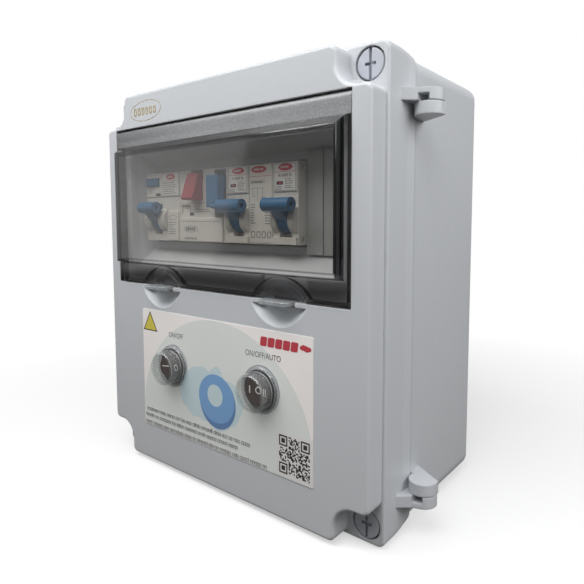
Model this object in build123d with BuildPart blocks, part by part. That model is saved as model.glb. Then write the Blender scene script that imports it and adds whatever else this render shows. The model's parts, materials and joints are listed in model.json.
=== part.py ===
from build123d import *
import os
from math import cos, radians, sin

# Weatherproof control box: a wall-mounted plastic enclosure with a smoked window over one row of
# DIN-rail devices (residual current device, motor protection breaker, two circuit breakers and an
# auxiliary contact module) and two capped rocker switches on its lower face.
# Millimetres. The origin is the centre of the wall face, +Z is up and the front looks along -Y.
# A "depth" is a distance behind the front face of the cover; the wall face is at depth DEPTH.

# ---- driving dimensions ------------------------------------------------------------------------
DEPTH = 125.0             # wall face to front face
FLANGE_W, FLANGE_H = 107.9, 123.2     # half sizes of the cover's flange
FACE_W, FACE_H = 106.3, 121.6         # half sizes of the raised face
BODY_W, BODY_H = 107.1, 122.3         # half sizes of the back box
SKIRT_FLARE = 0.7         # how far the skirt stands outside the flange
FRONT_CORNER_R = 4.2      # flange corners at the screw notches
SKIRT_CORNER_R = 5.2      # flange corners where the skirt starts
CORNER_R = 9.6            # flange corners at the parting plane
BACK_EDGE_R = 4.5         # rounding of the back box into its wall face
WALL = 2.8
FLANGE_D = 13.0           # depth of the flange front and of the corner notch floors
SQUARE_D = 26.0           # depth where the flange corners start to round off
SKIRT_D = 31.5            # depth where the flange starts to flare into its skirt
PARTING_D = 38.6          # depth of the joint between cover and back box
SEAM = 0.3                # gap between the cover's skirt and the back box
NOTCH, NOTCH_R = 20.0, 12.0           # side and hollow radius of the corner notches
WALL_HOLE_X, WALL_HOLE_Z = 84.0, 100.0
WALL_HOLE_R = 2.75
KNOCKOUT_X = (-60.0, -20.0, 20.0, 60.0)   # cable-entry knockouts in the top and bottom walls
KNOCKOUT_R = 12.5

SCREW_X, SCREW_Z = 97.5, 113.2        # cover screws and the pillars they turn into
SCREW_HEAD_R = 7.4
SCREW_SHANK_R = 3.0
SCREW_NECK_R = 1.8        # neck behind the parting plane
CAM_LENGTH = 4.8          # quarter-turn foot, from the screw's axis
CAM_D = (40.2, 41.6)
LEDGE_T = 1.1             # thickness of the pillar's top that the foot turns under
PILLAR_R = 6.6
SLOT_HALF = 2.8           # leaves room for the foot's path as the cover swings

DOOR_W = 95.7             # half width of the window door
DOOR_LOW, DOOR_TOP = -2.1, 99.7
DOOR_T = 2.2
HINGE_R = 3.4             # rolled top edge of the window door
WINDOW_AXIS_Z = DOOR_TOP - HINGE_R
PANEL_PROUD = 6.0
POCKET_D = 5.0
RECESS_D = 11.0
MASK_D, MASK_T = 21.5, 2.0
CUT_LEFT, CUT_RIGHT = -83.2, 82.2
CUT_LOW, CUT_HIGH = 25.0, 72.8
BLANK_LEFT = 54.6         # left edge of the strip that blanks the unused modules
RECESS = (-88.0, 88.0, 9.9, 86.7)         # x and z limits of the tray behind the window
FUNNEL_END = (-83.6, 82.6, 20.5, 77.5)    # the same where its sloping walls meet the mask
PANEL_BASE = (-92.0, 92.0, 10.5, 88.5)    # proud panel of the window, at the door
PANEL_FRONT = (-90.5, 90.5, 12.3, 84.0)   # the same at its front
LATCH_X = 50.0
SCOOP_R, SCOOP_DEEP = 21.7, 6.5           # finger scoops under the latches
SCOOP_Z = -16.7 + SCOOP_R
BITE_R = 23.7             # dishes in the door above the latches
BITE_Z = 8.8 - BITE_R
DISH_D, DISH_T = 3.2, 1.4

RAIL_HALF = 98.0          # half length of the DIN rail
POST_X = 90.0             # posts that carry the rail
ROW_Z = 48.6              # height of the DIN rail's centre line
NOSE_D = 12.5             # depth of the devices' noses
NOSE_H = 22.5             # half height of a nose
SHOULDER_D = 28.5
SHOULDER_H = 41.0
RAIL_D = 72.5             # depth of the rail's front flanges
FOOT_D = 78.0             # back of the devices
TERMINAL_Z = 31.5         # height of the terminal screws above and below the row's centre line
CLIP_HALF = 4.0
PIVOT_Z, PIVOT_D = 40.0, 17.0
BARREL_Z, BARREL_D, BARREL_R = 48.0, 5.0, 3.75
RUNNING = 0.05            # radial clearance of every turning fit

HINGE_X, HINGE_D = 116.2, 38.0        # axis of the cover's hinges
EYE_R = 7.3               # outside of arm and knuckle around the axis
ARM_H, KNUCKLE_H = 6.2, 6.3
HINGE_GAP = 0.3           # running gap between arm and knuckle
HINGE_SPLITS = (("top", 1, 96.9), ("bottom", -1, 100.2))  # where each arm meets its knuckle
PIN_R = 2.0

SWITCH_X, SWITCH_Z = 38.0, -52.5
SWITCH_R = 10.0
ROCKER_R, ROCKER_DROP, ROCKER_TILT = 8.3, 1.0, 9.0
LABEL = (-70.3, 74.0, -97.3, -18.8)       # x and z limits of the printed label
BAR_X, BAR_Z, BAR_D = 40.0, -92.0, 84.0   # neutral and earth bars

os.makedirs("parts", exist_ok=True)


# ---- placing -----------------------------------------------------------------------------------
def front(depth):
    """Plane parallel to the front face: local x is X, local y is Z, its normal looks along -Y."""
    return Plane(origin=(0, depth - DEPTH, 0), x_dir=(1, 0, 0), z_dir=(0, -1, 0))


def side(x):
    """Plane across X: local x is Y, local y is Z, its normal looks along +X."""
    return Plane(origin=(x, 0, 0), x_dir=(0, 1, 0), z_dir=(1, 0, 0))


def level(z):
    """Horizontal plane: local x is X, local y is Y, its normal looks up."""
    return Plane(origin=(0, 0, z), x_dir=(1, 0, 0), z_dir=(0, 0, 1))


def y_at(depth):
    return depth - DEPTH


def slab(near, far, half_w, half_h, radius, mode=Mode.ADD, x=0.0, z=0.0, taper=0.0):
    """Rounded rectangular slab between two depths, drawn at the far one."""
    with BuildSketch(front(far)) as outline:
        with Locations((x, z)):
            RectangleRounded(2 * half_w, 2 * half_h, radius)
    extrude(outline.sketch, amount=far - near, taper=taper, mode=mode)


def block(near, far, x_low, x_high, z_low, z_high, mode=Mode.ADD):
    """Plain block between two depths."""
    with Locations(((x_low + x_high) / 2, y_at((near + far) / 2), (z_low + z_high) / 2)):
        Box(x_high - x_low, far - near, z_high - z_low, mode=mode)


def round_post(near, far, x, z, radius, mode=Mode.ADD):
    """Cylinder along Y between two depths."""
    with BuildSketch(front(far)) as disc:
        with Locations((x, z)):
            Circle(radius)
    extrude(disc.sketch, amount=far - near, mode=mode)


def cross_rod(x_low, x_high, depth, z, radius, mode=Mode.ADD):
    """Cylinder along X."""
    with BuildSketch(side(x_low)) as disc:
        with Locations((y_at(depth), z)):
            Circle(radius)
    extrude(disc.sketch, amount=x_high - x_low, mode=mode)


def cross_slab(x_low, x_high, points, mode=Mode.ADD):
    """Prism along X over a polygon of (depth, z) points."""
    with BuildSketch(side(x_low)) as profile:
        with BuildLine():
            Polyline([(y_at(d), z) for d, z in points], close=True)
        make_face()
    extrude(profile.sketch, amount=x_high - x_low, mode=mode)


def funnel(near, near_box, far, far_box, mode=Mode.ADD):
    """Straight-sided loft between two rectangles (x_low, x_high, z_low, z_high)."""
    faces = []
    for depth, (x_low, x_high, z_low, z_high) in ((near, near_box), (far, far_box)):
        with BuildSketch(front(depth)) as outline:
            with Locations(((x_low + x_high) / 2, (z_low + z_high) / 2)):
                Rectangle(x_high - x_low, z_high - z_low)
        faces.append(outline.sketch.face())
    loft(faces, ruled=True, mode=mode)


def flange_loft(near, near_w, near_h, near_r, far, far_w, far_h, far_r):
    """Straight-sided loft between two rounded rectangles."""
    faces = []
    for depth, half_w, half_h, radius in ((near, near_w, near_h, near_r), (far, far_w, far_h, far_r)):
        with BuildSketch(front(depth)) as outline:
            RectangleRounded(2 * half_w, 2 * half_h, radius)
        faces.append(outline.sketch.face())
    loft(faces, ruled=True)


def grown(box, by):
    """The rectangle (x_low, x_high, z_low, z_high) made larger by one amount on every side."""
    return box[0] - by, box[1] + by, box[2] - by, box[3] + by


def save(piece, name):
    piece.part.label = name
    export_step(piece.part, f"parts/{name}.step")


CORNERS = [(sx, sz) for sx in (-1, 1) for sz in (-1, 1)]


# ---- enclosure ---------------------------------------------------------------------------------
def raised_outline(depth, inset=0.0):
    """The face's outline: a rectangle with a rounded notch out of each corner."""
    with BuildSketch(front(depth)) as outline:
        Rectangle(2 * (FACE_W - inset), 2 * (FACE_H - inset))
        with Locations([(sx * FACE_W, sz * FACE_H) for sx, sz in CORNERS]):
            Rectangle(2 * (NOTCH + inset), 2 * (NOTCH + inset), mode=Mode.SUBTRACT)
        hollow_corners = outline.vertices().sort_by(lambda v: Vector(*v).length)[:4]
        fillet(hollow_corners, radius=NOTCH_R - inset)
        outer_corners = outline.vertices().filter_by(
            lambda v: abs(abs(v.X) - FACE_W + inset) < 0.1 and abs(abs(v.Y) - FACE_H + NOTCH + inset) < 0.1
            or abs(abs(v.Y) - FACE_H + inset) < 0.1 and abs(abs(v.X) - FACE_W + NOTCH + inset) < 0.1)
        fillet(outer_corners, radius=3.5)
    return outline.sketch


with BuildPart() as front_cover:
    slab(FLANGE_D, SQUARE_D, FLANGE_W, FLANGE_H, FRONT_CORNER_R)
    fillet(front_cover.faces().sort_by(Axis.Y)[0].edges(), radius=1.4)
    flange_loft(SQUARE_D, FLANGE_W, FLANGE_H, FRONT_CORNER_R, SKIRT_D, FLANGE_W, FLANGE_H, SKIRT_CORNER_R)
    flange_loft(SKIRT_D, FLANGE_W, FLANGE_H, SKIRT_CORNER_R,
                PARTING_D, FLANGE_W + SKIRT_FLARE, FLANGE_H + SKIRT_FLARE, CORNER_R)
    extrude(raised_outline(FLANGE_D + 2), amount=FLANGE_D + 2)
    fillet(front_cover.faces().sort_by(Axis.Y)[0].edges(), radius=1.8)
    # hollow behind the face and behind the flange, stepped for the gasket
    extrude(raised_outline(FLANGE_D + WALL, WALL), amount=FLANGE_D, mode=Mode.SUBTRACT)
    slab(FLANGE_D + WALL, PARTING_D, FLANGE_W - 5.6, FLANGE_H - 5.6, 5.4, mode=Mode.SUBTRACT)
    slab(PARTING_D - 1.7, PARTING_D, FLANGE_W - WALL, FLANGE_H - WALL, 8.2, mode=Mode.SUBTRACT)
    # tray behind the window, its sloping walls and the mask in front of the devices
    slab(WALL - 1, POCKET_D + 3.4, DOOR_W + 4.3, (DOOR_TOP - DOOR_LOW) / 2 + 3.0, 2,
         z=(DOOR_TOP + DOOR_LOW) / 2 + 0.5)
    block(POCKET_D, RECESS_D + 0.5, *grown(RECESS, 2.5))
    funnel(RECESS_D + 0.5, grown(RECESS, 2.5), MASK_D + MASK_T, grown(FUNNEL_END, 2.5))
    for sx in (-1, 1):
        # finger scoops under the door, as shallow dishes with a backing of the same shape
        with BuildSketch(front(SCOOP_DEEP + 2.6)) as dish_back:
            with Locations((sx * LATCH_X, SCOOP_Z)):
                Circle(SCOOP_R - SCOOP_DEEP + 0.6)
        with BuildSketch(front(1.4)) as dish_front:
            with Locations((sx * LATCH_X, SCOOP_Z)):
                Circle(SCOOP_R + 2.4)
        loft([dish_back.sketch.face(), dish_front.sketch.face()])
    slab(-1, POCKET_D, DOOR_W + 0.4, (DOOR_TOP - DOOR_LOW) / 2 + 0.4, 0.6,
         z=(DOOR_TOP + DOOR_LOW) / 2, mode=Mode.SUBTRACT)
    block(0, 2 * HINGE_R + 0.5, -DOOR_W - 0.4, DOOR_W + 0.4, WINDOW_AXIS_Z - 4.2, DOOR_TOP + 0.4,
          mode=Mode.SUBTRACT)
    block(POCKET_D - 1, RECESS_D, *RECESS, mode=Mode.SUBTRACT)
    funnel(RECESS_D, RECESS, MASK_D, FUNNEL_END, mode=Mode.SUBTRACT)
    block(MASK_D - 0.5, MASK_D + MASK_T + 1, CUT_LEFT, CUT_RIGHT, CUT_LOW, CUT_HIGH, mode=Mode.SUBTRACT)
    for sx in (-1, 1):
        with BuildSketch(front(SCOOP_DEEP)) as dish_floor:
            with Locations((sx * LATCH_X, SCOOP_Z)):
                Circle(SCOOP_R - SCOOP_DEEP)
        with BuildSketch(front(-0.1)) as dish_mouth:
            with Locations((sx * LATCH_X, SCOOP_Z)):
                Circle(SCOOP_R + 0.1)
        loft([dish_floor.sketch.face(), dish_mouth.sketch.face()], mode=Mode.SUBTRACT)
        # slot in the scoop's floor that the latch's hook snaps into
        block(SCOOP_DEEP - 1, SCOOP_DEEP + 4, sx * LATCH_X - 8.5, sx * LATCH_X + 8.5, -6.4, -1.2,
              mode=Mode.SUBTRACT)
        # ledges that bridge the top of the scoop beside the latch
        for side_x in (-1, 1):
            block(0.4, 2.4, *sorted((sx * LATCH_X + side_x * 11.4, sx * LATCH_X + side_x * 20.4)),
                  -5.0, -2.5)
        # bearing hole of the window's hinge rod
        cross_rod(min(sx * DOOR_W, sx * (DOOR_W + 3.3)), max(sx * DOOR_W, sx * (DOOR_W + 3.3)),
                  HINGE_R, WINDOW_AXIS_Z, 1.5 + RUNNING, mode=Mode.SUBTRACT)
        round_post(-1, WALL + 3, sx * SWITCH_X, SWITCH_Z, SWITCH_R + 0.1, mode=Mode.SUBTRACT)
    for sx, sz in CORNERS:
        round_post(FLANGE_D + 1, FLANGE_D + 9, sx * SCREW_X, sz * SCREW_Z, 9.6)
        round_post(FLANGE_D - 1, FLANGE_D + 6, sx * SCREW_X, sz * SCREW_Z, SCREW_HEAD_R + 0.8,
                   mode=Mode.SUBTRACT)
        round_post(FLANGE_D, FLANGE_D + 12, sx * SCREW_X, sz * SCREW_Z, SCREW_SHANK_R + RUNNING,
                   mode=Mode.SUBTRACT)
save(front_cover, "front_cover")

with BuildPart() as back_box:
    slab(PARTING_D + SEAM, DEPTH, BODY_W, BODY_H, CORNER_R - 0.8)
    fillet(back_box.faces().sort_by(Axis.Y)[-1].edges(), radius=BACK_EDGE_R)
    slab(PARTING_D, PARTING_D + 5, BODY_W - 5.2, BODY_H - 5.2, 5, mode=Mode.SUBTRACT)
    slab(PARTING_D + 4.9, DEPTH - 3.2, BODY_W - 3.2, BODY_H - 3.2, 7, mode=Mode.SUBTRACT)
    for sx, sz in CORNERS:
        # corner pillars: the screw's foot goes in through a slot and turns in a chamber behind it
        round_post(PARTING_D + SEAM, DEPTH - 3, sx * SCREW_X, sz * SCREW_Z, PILLAR_R)
        round_post(PARTING_D + SEAM + LEDGE_T, CAM_D[1] + 1.4, sx * SCREW_X, sz * SCREW_Z,
                   CAM_LENGTH + 0.6, mode=Mode.SUBTRACT)
        block(PARTING_D, CAM_D[1] + 1.4, sx * SCREW_X - SLOT_HALF, sx * SCREW_X + SLOT_HALF,
              sz * SCREW_Z - SCREW_NECK_R - 0.4, sz * SCREW_Z + CAM_LENGTH + 0.6, mode=Mode.SUBTRACT)
        # wall-fixing holes beside them
        round_post(DEPTH - 10, DEPTH - 1, sx * WALL_HOLE_X, sz * WALL_HOLE_Z, 7)
        round_post(DEPTH - 11, DEPTH - 4, sx * WALL_HOLE_X, sz * WALL_HOLE_Z, 5.2, mode=Mode.SUBTRACT)
        round_post(DEPTH - 12, DEPTH + 1, sx * WALL_HOLE_X, sz * WALL_HOLE_Z, WALL_HOLE_R, mode=Mode.SUBTRACT)
    for sx in (-1, 1):
        # rail posts
        round_post(RAIL_D + 7.5, DEPTH - 3, sx * POST_X, ROW_Z, 7)
        round_post(RAIL_D + 7, RAIL_D + 28, sx * POST_X, ROW_Z, 2.0, mode=Mode.SUBTRACT)
    # posts of the two terminal bars
    for x in (-BAR_X - 26, -BAR_X + 26, BAR_X - 26, BAR_X + 26):
        round_post(BAR_D + 8, DEPTH - 3, x, BAR_Z, 4.5)
        round_post(BAR_D + 7, BAR_D + 26, x, BAR_Z, 1.6, mode=Mode.SUBTRACT)
    # round cable-entry knockouts pressed into the bottom and top walls
    for sz in (-1, 1):
        with BuildSketch(level(sz * BODY_H)) as knockouts:
            for x in KNOCKOUT_X:
                with Locations((x, y_at(84))):
                    Circle(KNOCKOUT_R)
                    Circle(KNOCKOUT_R - 1, mode=Mode.SUBTRACT)
        extrude(knockouts.sketch, amount=-sz * 1.2, mode=Mode.SUBTRACT)
save(back_box, "back_box")

with BuildPart() as cover_gasket:
    slab(PARTING_D - 1.6, PARTING_D + SEAM, FLANGE_W - WALL - 0.2, FLANGE_H - WALL - 0.2, 8.0)
    slab(PARTING_D - 2, PARTING_D + 1, FLANGE_W - 5.4, FLANGE_H - 5.4, 5.6, mode=Mode.SUBTRACT)
save(cover_gasket, "cover_gasket")

# Cover screws: quarter-turn heads with one long and one short slot, and a foot that turns under the
# pillar's ledge. At rest the foot stands upright and is free; a quarter turn locks it.
for name, sx, sz in (("top_left", -1, 1), ("top_right", 1, 1), ("bottom_left", -1, -1),
                     ("bottom_right", 1, -1)):
    with BuildPart() as cover_screw:
        round_post(FLANGE_D + 0.3, FLANGE_D + 5.8, sx * SCREW_X, sz * SCREW_Z, SCREW_HEAD_R)
        chamfer(cover_screw.faces().sort_by(Axis.Y)[0].edges(), length=0.4)
        round_post(FLANGE_D + 5, PARTING_D - 0.2, sx * SCREW_X, sz * SCREW_Z, SCREW_SHANK_R)
        round_post(PARTING_D - 1, CAM_D[1], sx * SCREW_X, sz * SCREW_Z, SCREW_NECK_R)
        block(*CAM_D, sx * SCREW_X - SCREW_NECK_R, sx * SCREW_X + SCREW_NECK_R, sz * SCREW_Z,
              sz * SCREW_Z + CAM_LENGTH)
        block(FLANGE_D, FLANGE_D + 2.3, sx * SCREW_X - 0.75, sx * SCREW_X + 0.75,
              sz * SCREW_Z - SCREW_HEAD_R - 1, sz * SCREW_Z + SCREW_HEAD_R + 1, mode=Mode.SUBTRACT)
        block(FLANGE_D, FLANGE_D + 2.3, sx * SCREW_X - 3, sx * SCREW_X + 3,
              sz * SCREW_Z - 0.75, sz * SCREW_Z + 0.75, mode=Mode.SUBTRACT)
    save(cover_screw, f"cover_screw_{name}")

# ---- cover hinges ------------------------------------------------------------------------------
# Each arm grows out of the flange and ends in an eye above or below the knuckle on the back box.
for name, sz, split in HINGE_SPLITS:
    arm_low, arm_high = sorted((sz * (split + HINGE_GAP / 2), sz * (split + ARM_H)))
    knuckle_low, knuckle_high = sorted((sz * (split - KNUCKLE_H), sz * (split - HINGE_GAP / 2)))
    with BuildPart() as hinge_arm:
        with BuildSketch(level(arm_low)) as arm_outline:
            with BuildLine():
                Polyline((FLANGE_W - 0.4, y_at(24)), (HINGE_X - 1.6, y_at(HINGE_D - 8.2)),
                         (HINGE_X + 2.8, y_at(HINGE_D - 6.7)), (HINGE_X, y_at(HINGE_D)),
                         (HINGE_X - EYE_R, y_at(HINGE_D)), (FLANGE_W - 0.4, y_at(HINGE_D - 1.5)),
                         close=True)
            make_face()
            with Locations((HINGE_X, y_at(HINGE_D))):
                Circle(EYE_R)
                Circle(PIN_R + RUNNING, mode=Mode.SUBTRACT)
        extrude(amount=arm_high - arm_low)
        # snap-in mouth in front of the pin, on the knuckle's side only
        mouth_low, mouth_high = sorted((sz * (split - 1), sz * (split + 3.5)))
        block(HINGE_D - 14, HINGE_D - 1.4, HINGE_X - 2.1, HINGE_X + 3.0, mouth_low, mouth_high,
              mode=Mode.SUBTRACT)
    save(hinge_arm, f"hinge_arm_{name}")

    with BuildPart() as hinge_knuckle:
        tip = (HINGE_X + EYE_R + 0.2, y_at(HINGE_D + 2.4))
        root = (BODY_W, y_at(HINGE_D + 12.6))
        with BuildSketch(level(knuckle_low)) as knuckle_outline:
            with Locations((HINGE_X, y_at(HINGE_D))):
                Circle(EYE_R)
            with BuildLine():
                Polyline((BODY_W, y_at(HINGE_D + 2.6)), (HINGE_X, y_at(HINGE_D + 2.6)),
                         (HINGE_X, y_at(HINGE_D - EYE_R)), tip, root, close=True)
            make_face()
            # flat back, from the tip to the box's wall
            with BuildLine():
                Polyline(tip, root, (BODY_W, y_at(HINGE_D + 20)), (HINGE_X + EYE_R + 5, y_at(HINGE_D + 20)),
                         close=True)
            make_face(mode=Mode.SUBTRACT)
            with Locations((HINGE_X, y_at(HINGE_D))):
                Circle(PIN_R + 0.02, mode=Mode.SUBTRACT)
        extrude(amount=knuckle_high - knuckle_low)
        # the closed outer end over the pin
        end_low, end_high = sorted((sz * (split - KNUCKLE_H), sz * (split - KNUCKLE_H + 0.8)))
        with BuildSketch(level(end_low)) as end_plate:
            with Locations((HINGE_X, y_at(HINGE_D))):
                Circle(PIN_R + 1)
        extrude(amount=end_high - end_low)
    save(hinge_knuckle, f"hinge_knuckle_{name}")

    pin_low, pin_high = sorted((sz * (split - KNUCKLE_H + 0.82), sz * (split + ARM_H - 0.3)))
    with BuildPart() as hinge_pin:
        with BuildSketch(level(pin_low)) as pin_outline:
            with Locations((HINGE_X, y_at(HINGE_D))):
                Circle(PIN_R)
        extrude(amount=pin_high - pin_low)
    save(hinge_pin, f"hinge_pin_{name}")

# ---- window ------------------------------------------------------------------------------------
PANEL_HOLLOW = grown(PANEL_BASE, -2.5)
with BuildPart() as window_door:
    with BuildSketch(front(DOOR_T)) as door_plate:
        with Locations((0, (DOOR_LOW + WINDOW_AXIS_Z) / 2)):
            Rectangle(2 * DOOR_W, WINDOW_AXIS_Z - DOOR_LOW)
    extrude(amount=DOOR_T)
    cross_rod(-DOOR_W, DOOR_W, HINGE_R, WINDOW_AXIS_Z, HINGE_R)
    funnel(0.5, PANEL_BASE, -PANEL_PROUD, PANEL_FRONT)
    fillet(window_door.faces().sort_by(Axis.Y)[0].edges(), radius=1.6)
    funnel(DOOR_T + 0.01, PANEL_HOLLOW, -PANEL_PROUD + DOOR_T, grown(PANEL_FRONT, -2.2),
           mode=Mode.SUBTRACT)
    # the rim that stiffens the door behind its plate
    slab(DOOR_T - 0.3, POCKET_D - 0.5, DOOR_W - 1.2, 48.0, 1.5, z=46.0)
    slab(DOOR_T - 0.5, POCKET_D, DOOR_W - 3.0, 46.2, 1.0, z=46.0, mode=Mode.SUBTRACT)
    funnel(DOOR_T + 0.5, PANEL_HOLLOW, DOOR_T - 0.6, PANEL_HOLLOW,
           mode=Mode.SUBTRACT)
    cross_rod(-DOOR_W - 1, DOOR_W + 1, HINGE_R, WINDOW_AXIS_Z, 1.5 + 0.02, mode=Mode.SUBTRACT)
    # dished finger recesses above the two latches, open at the door's lower edge
    for sx in (-1, 1):
        with BuildSketch(front(DISH_D + DISH_T)) as dish_block:
            with Locations((sx * LATCH_X, BITE_Z)):
                Circle(BITE_R + 1.2)
            with Locations((sx * LATCH_X, DOOR_LOW - 30)):
                Rectangle(60, 60, mode=Mode.SUBTRACT)
        extrude(dish_block.sketch, amount=DISH_D + DISH_T)
        with BuildSketch(front(DISH_D)) as dish_floor:
            with Locations((sx * LATCH_X, BITE_Z)):
                Circle(BITE_R - 4.5)
        with BuildSketch(front(-0.1)) as dish_mouth:
            with Locations((sx * LATCH_X, BITE_Z)):
                Circle(BITE_R)
        loft([dish_floor.sketch.face(), dish_mouth.sketch.face()], mode=Mode.SUBTRACT)
save(window_door, "window_door")

with BuildPart() as window_hinge_rod:
    cross_rod(-DOOR_W - 2.8, DOOR_W + 2.8, HINGE_R, WINDOW_AXIS_Z, 1.5)
save(window_hinge_rod, "window_hinge_rod")

# Clear latches: a finger tab in front of the door's dish and a hook that passes under the door.
for name, sx in (("left", -1), ("right", 1)):
    with BuildPart() as window_latch:
        with BuildSketch(level(DOOR_LOW - 2.2)) as finger_tab:
            with Locations((sx * LATCH_X, y_at(-1.4))):
                RectangleRounded(21.0, 9.2, 3.6)
        extrude(amount=2.2)
        fillet(window_latch.faces().sort_by(Axis.Z)[-1].edges(), radius=0.7)
        block(0, SCOOP_DEEP - 1.6, sx * LATCH_X - 10.5, sx * LATCH_X + 10.5, DOOR_LOW - 2.2, DOOR_LOW)
        cross_slab(sx * LATCH_X - 8, sx * LATCH_X + 8,
                   [(4.0, DOOR_LOW), (4.0, DOOR_LOW - 2.0), (SCOOP_DEEP + 1.8, DOOR_LOW - 2.0),
                    (SCOOP_DEEP + 1.8, DOOR_LOW - 3.4), (SCOOP_DEEP + 3.4, DOOR_LOW - 1.6),
                    (SCOOP_DEEP + 3.4, DOOR_LOW)])
    save(window_latch, f"window_latch_{name}")

with BuildPart() as blanking_strip:
    block(19.0, MASK_D, BLANK_LEFT, 81.8, 21.0, 77.0)
    for x in (BLANK_LEFT + 10.8, BLANK_LEFT + 22.0):
        block(18, 20.2, x, x + 0.7, 20, 78, mode=Mode.SUBTRACT)
    fillet(blanking_strip.edges().filter_by(Axis.Z).group_by(Axis.Y)[0], radius=0.3)
    block(MASK_D, MASK_D + 4, BLANK_LEFT + 0.2, 81.7, CUT_LOW + 0.3, CUT_HIGH - 0.3)
save(blanking_strip, "blanking_strip")

with BuildPart() as front_label:
    with BuildSketch(front(0)) as label_outline:
        with Locations(((LABEL[0] + LABEL[1]) / 2, (LABEL[2] + LABEL[3]) / 2)):
            RectangleRounded(LABEL[1] - LABEL[0], LABEL[3] - LABEL[2], 1.0)
        with Locations((-SWITCH_X, SWITCH_Z), (SWITCH_X, SWITCH_Z)):
            Circle(13.5, mode=Mode.SUBTRACT)
    extrude(amount=0.3)
save(front_label, "front_label")

# ---- rail and devices --------------------------------------------------------------------------
with BuildPart() as din_rail:
    cross_slab(-RAIL_HALF, RAIL_HALF,
               [(RAIL_D, ROW_Z + 17.5), (RAIL_D, ROW_Z + 12.5), (RAIL_D + 6.5, ROW_Z + 12.5),
                (RAIL_D + 6.5, ROW_Z - 12.5), (RAIL_D, ROW_Z - 12.5), (RAIL_D, ROW_Z - 17.5),
                (RAIL_D + 1, ROW_Z - 17.5), (RAIL_D + 1, ROW_Z - 13.5), (RAIL_D + 7.5, ROW_Z - 13.5),
                (RAIL_D + 7.5, ROW_Z + 13.5), (RAIL_D + 1, ROW_Z + 13.5), (RAIL_D + 1, ROW_Z + 17.5)])
    for sx in (-1, 1):
        round_post(RAIL_D + 6, RAIL_D + 8, sx * POST_X, ROW_Z, 2.1, mode=Mode.SUBTRACT)
save(din_rail, "din_rail")

with BuildPart() as rail_screws:
    for sx in (-1, 1):
        round_post(RAIL_D + 4, RAIL_D + 6.5, sx * POST_X, ROW_Z, 4.0)
        round_post(RAIL_D + 6, RAIL_D + 24, sx * POST_X, ROW_Z, 1.97)
        block(RAIL_D + 3, RAIL_D + 5, sx * POST_X - 0.6, sx * POST_X + 0.6, ROW_Z - 5, ROW_Z + 5,
              mode=Mode.SUBTRACT)
save(rail_screws, "rail_screws")



def device_case(x_low, x_high, modules):
    """Case of a rail device: nose, two terminal shoulders, rail hook and the channels behind."""
    hook = RAIL_D + 1.15
    outline = [(NOSE_D, -NOSE_H), (NOSE_D, NOSE_H), (SHOULDER_D, NOSE_H), (SHOULDER_D, SHOULDER_H),
               (FOOT_D, SHOULDER_H), (FOOT_D, 15.6), (hook, 15.6), (hook, 17.7), (RAIL_D, 17.7),
               (RAIL_D, -18.5), (FOOT_D, -18.5), (FOOT_D, -SHOULDER_H), (SHOULDER_D, -SHOULDER_H),
               (SHOULDER_D, -NOSE_H)]
    cross_slab(x_low, x_high, [(d, ROW_Z + z) for d, z in outline])
    pitch = (x_high - x_low) / modules
    for i in range(modules):
        x = x_low + pitch * (i + 0.5)
        for sz in (-1, 1):
            round_post(SHOULDER_D - 1, SHOULDER_D + 8, x, ROW_Z + sz * TERMINAL_Z, 3.6,
                       mode=Mode.SUBTRACT)
            z_low, z_high = sorted((ROW_Z + sz * SHOULDER_H, ROW_Z + sz * (SHOULDER_H - 12)))
            block(42, 51, x - 4.2, x + 4.2, z_low, z_high, mode=Mode.SUBTRACT)
        terminals.append(x)
    x = (x_low + x_high) / 2
    block(hook, hook + 2.6, x - CLIP_HALF - 0.1, x + CLIP_HALF + 0.1, ROW_Z - SHOULDER_H, ROW_Z - 18.4,
          mode=Mode.SUBTRACT)
    clips.append(x)


def toggle_seat(x, cheek_half):
    """Round cheeks either side of the handle's drum, and the space the drum turns in."""
    cross_rod(x - cheek_half, x + cheek_half, PIVOT_D, PIVOT_Z, 8.6)
    block(PIVOT_D - 10, PIVOT_D + 0.5, x - 4.3, x + 4.3, PIVOT_Z - 9.6, PIVOT_Z + 10.6,
          mode=Mode.SUBTRACT)
    cross_rod(x - 4.3, x + 4.3, PIVOT_D, PIVOT_Z, 7.8, mode=Mode.SUBTRACT)
    cross_rod(x - 6.5, x + 6.5, PIVOT_D, PIVOT_Z, 1.5 + RUNNING, mode=Mode.SUBTRACT)


def toggle(x, x_low, x_high):
    """Handle: a drum on two trunnions, a tongue and the round bar that the finger moves."""
    cross_rod(x - 4.1, x + 4.1, PIVOT_D, PIVOT_Z, 7.4)
    cross_rod(x - 6.3, x + 6.3, PIVOT_D, PIVOT_Z, 1.5)
    cross_slab(x - 4.1, x + 4.1,
               [(PIVOT_D - 4, PIVOT_Z + 6), (BARREL_D + 2.6, BARREL_Z + 2.4),
                (BARREL_D - 1.5, BARREL_Z - 3.2), (PIVOT_D - 7, PIVOT_Z - 1)])
    cross_rod(x_low, x_high, BARREL_D, BARREL_Z, BARREL_R)
    cross_rod(x_high - 3, x_high, BARREL_D, BARREL_Z, 1.3, mode=Mode.SUBTRACT)


terminals = []
clips = []

# Residual current device, two modules wide.
RCD_X, RCD_PIVOT_X = (-80.5, -44.7), -68.0
TEST_BUTTON = (-79.4, -66.0, 62.4, 67.8)
with BuildPart() as rcd_case:
    device_case(*RCD_X, 2)
    toggle_seat(RCD_PIVOT_X, 10.5)
    block(NOSE_D - 0.5, NOSE_D, RCD_X[0] + 0.4, RCD_X[1] - 0.4, 55.4, 70.6)
    block(NOSE_D - 1, 17.2, TEST_BUTTON[0] - 0.15, TEST_BUTTON[1] + 0.15, TEST_BUTTON[2] - 0.15,
          TEST_BUTTON[3] + 0.15, mode=Mode.SUBTRACT)
    block(NOSE_D - 1.4, NOSE_D, -56.6, -45.4, 26.6, 45.4)
save(rcd_case, "rcd_case")

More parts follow.
